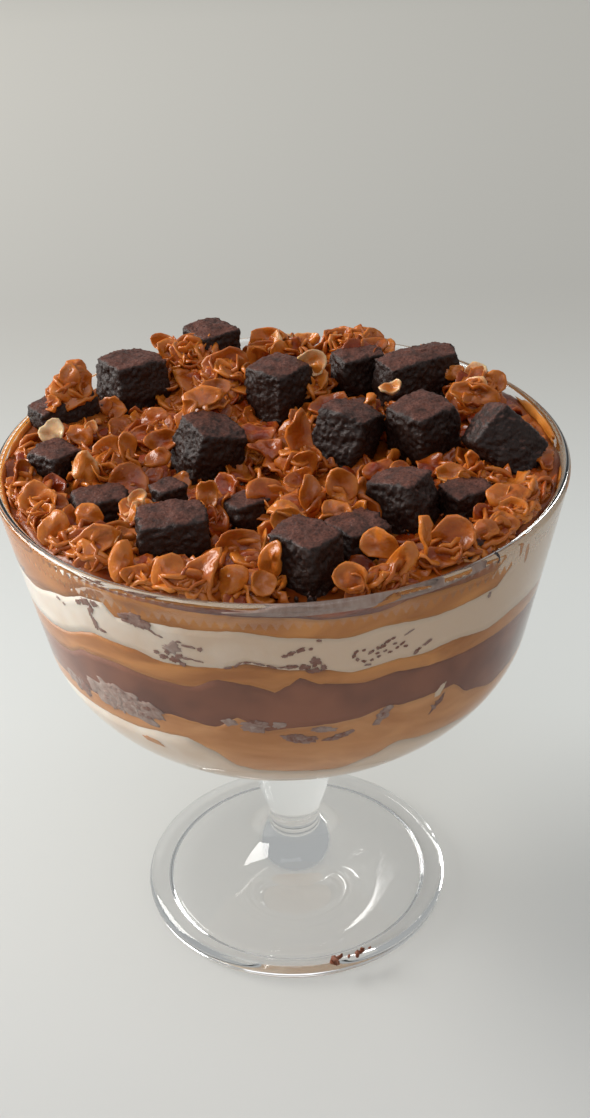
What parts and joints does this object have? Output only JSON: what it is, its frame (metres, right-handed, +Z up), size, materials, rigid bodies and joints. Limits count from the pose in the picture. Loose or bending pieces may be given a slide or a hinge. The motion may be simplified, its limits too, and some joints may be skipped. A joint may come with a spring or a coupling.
{
  "type": "trifle in a footed glass bowl",
  "caption": "Layered brownie, caramel and cream trifle in a clear footed glass bowl, topped with brownie cubes and glazed toffee flakes.",
  "frame": {"origin": "centre of the foot's resting ring, on the surface that the bowl stands on", "axes": "+Z up along the bowl's turning axis; -Y towards the front, the side first seen; +X to the right from the front"},
  "size_m": [0.22, 0.22, 0.2352],
  "materials": {
    "clear_glass": "clear pressed glass, polished",
    "whipped_cream": null,
    "soft_caramel": null,
    "chocolate_mousse": null,
    "toffee_glaze": null,
    "baked_brownie": null
  },
  "bodies": {
    "root": {"glass_bowl": "clear_glass", "cream_bottom": "whipped_cream", "caramel_lower": "soft_caramel", "chocolate_layer": "chocolate_mousse", "caramel_middle": "soft_caramel", "cream_upper": "whipped_cream", "caramel_upper": "soft_caramel", "toffee_flake_heap": "toffee_glaze", "brownie_01": "baked_brownie", "brownie_02": "baked_brownie", "brownie_03": "baked_brownie", "brownie_04": "baked_brownie", "brownie_05": "baked_brownie", "brownie_06": "baked_brownie", "brownie_07": "baked_brownie", "brownie_08": "baked_brownie", "brownie_09": "baked_brownie", "brownie_10": "baked_brownie", "brownie_11": "baked_brownie", "brownie_12": "baked_brownie", "brownie_13": "baked_brownie", "brownie_14": "baked_brownie", "brownie_15": "baked_brownie", "brownie_16": "baked_brownie", "brownie_17": "baked_brownie", "brownie_18": "baked_brownie", "brownie_19": "baked_brownie", "brownie_20": "baked_brownie", "brownie_21": "baked_brownie"}
  },
  "joints": []
}
